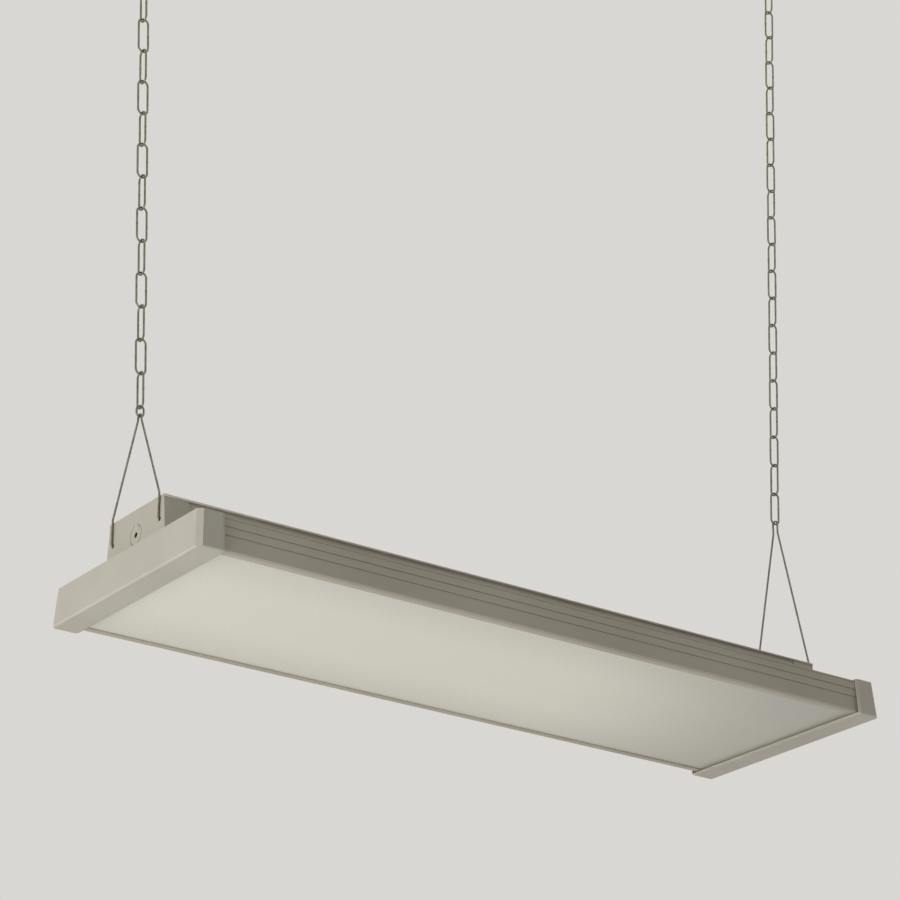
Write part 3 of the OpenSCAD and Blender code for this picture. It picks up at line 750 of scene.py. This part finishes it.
def seenByEye(tree):
    # 1 for what the camera sees, straight on, mirrored or through something clear
    ray = addNode(tree, "ShaderNodeLightPath")
    seen = addNode(tree, "ShaderNodeMath", {"operation": "MAXIMUM"},
                   links={0: ray.outputs["Is Camera Ray"], 1: ray.outputs["Is Glossy Ray"]})
    shown = addNode(tree, "ShaderNodeMath", {"operation": "MAXIMUM"},
                    links={0: seen.outputs["Value"], 1: ray.outputs["Is Transmission Ray"]})
    return shown.outputs["Value"]


def buildStudio():
    s = studio
    world = bpy.data.worlds.new("studio")
    bpy.context.scene.world = world
    world.use_nodes = True
    tree = world.node_tree
    tree.nodes.clear()
    light = addNode(tree, "ShaderNodeBackground",
                    values={"Color": linear(s["ambientColour"]), "Strength": s["ambient"]})
    back = addNode(tree, "ShaderNodeBackground",
                   values={"Color": linear(s["backdrop"]), "Strength": 1.0})
    mix = addNode(tree, "ShaderNodeMixShader",
                  links={0: seenByEye(tree), 1: light.outputs["Background"],
                         2: back.outputs["Background"]})
    addNode(tree, "ShaderNodeOutputWorld", links={"Surface": mix.outputs["Shader"]})

    floorMesh = bpy.data.meshes.new("floor")
    reach, z = s["floorReach"], s["floorZ"]
    corners = [(-reach, -reach, z), (reach, -reach, z), (reach, reach, z), (-reach, reach, z)]
    floorMesh.from_pydata(corners, [], [(0, 1, 2, 3)])
    floor = bpy.data.objects.new("floor", floorMesh)
    bpy.context.scene.collection.objects.link(floor)
    material, tree, shader, _ = startMaterial("paleFloor", 0.8)
    shader.inputs["Base Color"].default_value = linear(s["floorColour"])
    paper = addNode(tree, "ShaderNodeEmission", values={"Color": linear(s["backdrop"])})
    share = addNode(tree, "ShaderNodeMath", {"operation": "MULTIPLY"}, {1: s["floorPaper"]},
                    {0: seenByEye(tree)})
    pale = addNode(tree, "ShaderNodeMixShader",            # as pale far off as below the lamps
                   links={0: share.outputs["Value"], 1: shader.outputs["BSDF"],
                          2: paper.outputs["Emission"]})
    side = addNode(tree, "ShaderNodeNewGeometry")
    clear = addNode(tree, "ShaderNodeBsdfTransparent")
    both = addNode(tree, "ShaderNodeMixShader",            # from underneath the floor isn't there
                   links={0: side.outputs["Backfacing"], 1: pale.outputs["Shader"],
                          2: clear.outputs["BSDF"]})
    tree.links.new(both.outputs["Shader"], tree.nodes["Material Output"].inputs["Surface"])
    floorMesh.materials.append(material)

    for name, (place, aim, size, watts) in s["lamps"].items():
        lamp = bpy.data.lights.new(name, "AREA")
        lamp.energy, lamp.size = watts, size
        holder = bpy.data.objects.new(name, lamp)
        holder.location = place
        holder.rotation_mode = "QUATERNION"
        holder.rotation_quaternion = (Vector(aim) - Vector(place)).to_track_quat("-Z", "Y")
        holder.visible_camera = False
        bpy.context.scene.collection.objects.link(holder)


buildStudio()
print("studio lit")


camera = {                             # fitted to the photograph
    "place": (-2.4622, -3.3037, -2.8577), "pitch": 23.425, "yaw": 36.04, "lens": 120,
}


def placeCamera():
    c = camera
    data = bpy.data.cameras.new("camera")
    data.lens, data.sensor_width = c["lens"], 36
    data.clip_start, data.clip_end = 0.1, 60
    holder = bpy.data.objects.new("camera", data)
    holder.location = c["place"]
    holder.rotation_euler = (math.radians(90 + c["pitch"]), 0, math.radians(-c["yaw"]))
    bpy.context.scene.collection.objects.link(holder)
    bpy.context.scene.camera = holder


placeCamera()
bpy.context.scene.view_settings.view_transform = "Standard"

bpy.context.view_layer.update()
